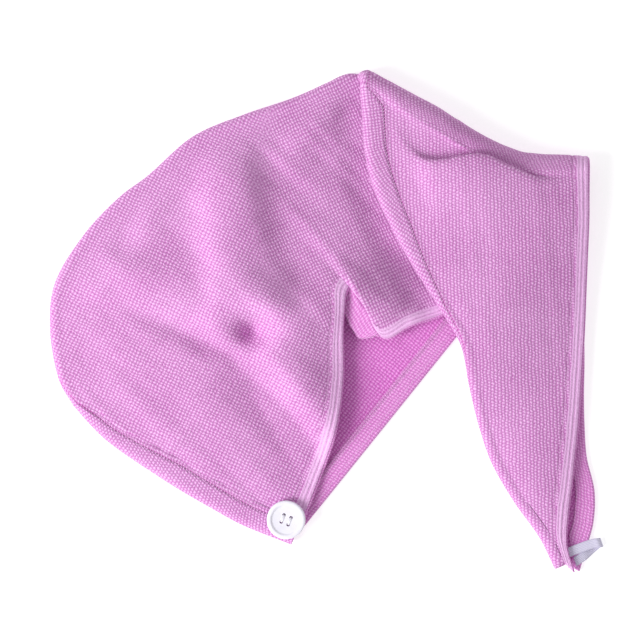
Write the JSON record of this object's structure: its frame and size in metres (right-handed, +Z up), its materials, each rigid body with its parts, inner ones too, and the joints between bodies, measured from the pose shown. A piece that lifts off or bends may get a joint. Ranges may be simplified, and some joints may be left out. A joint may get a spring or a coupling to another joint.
{
  "type": "hair turban towel",
  "caption": "Soft wrap towel for wet hair: two cloth panels sewn along a curved seam, wide round head end, tapering tail folded over, button and elastic loop.",
  "frame": {"origin": "on the surface the towel lies on, under the middle of its bounding box", "axes": "+Z up; +X from the round head end towards the tail; +Y towards the fold of the tail"},
  "size_m": [0.3868, 0.3492, 0.0364],
  "materials": {
    "towelling": "looped microfibre towelling, lilac pink, matt",
    "hem": "turned-in hem of the same cloth, lilac pink, matt",
    "button": "white with a faint lilac cast, smooth",
    "thread": "white sewing thread",
    "elastic": "ribbed woven elastic, very pale lavender"
  },
  "bodies": {
    "root": {"upper_panel": "towelling", "lower_panel": "towelling", "upper_hem": "hem", "lower_hem": "hem", "button": "button", "button_thread": "thread", "elastic_loop": "elastic"}
  },
  "joints": []
}
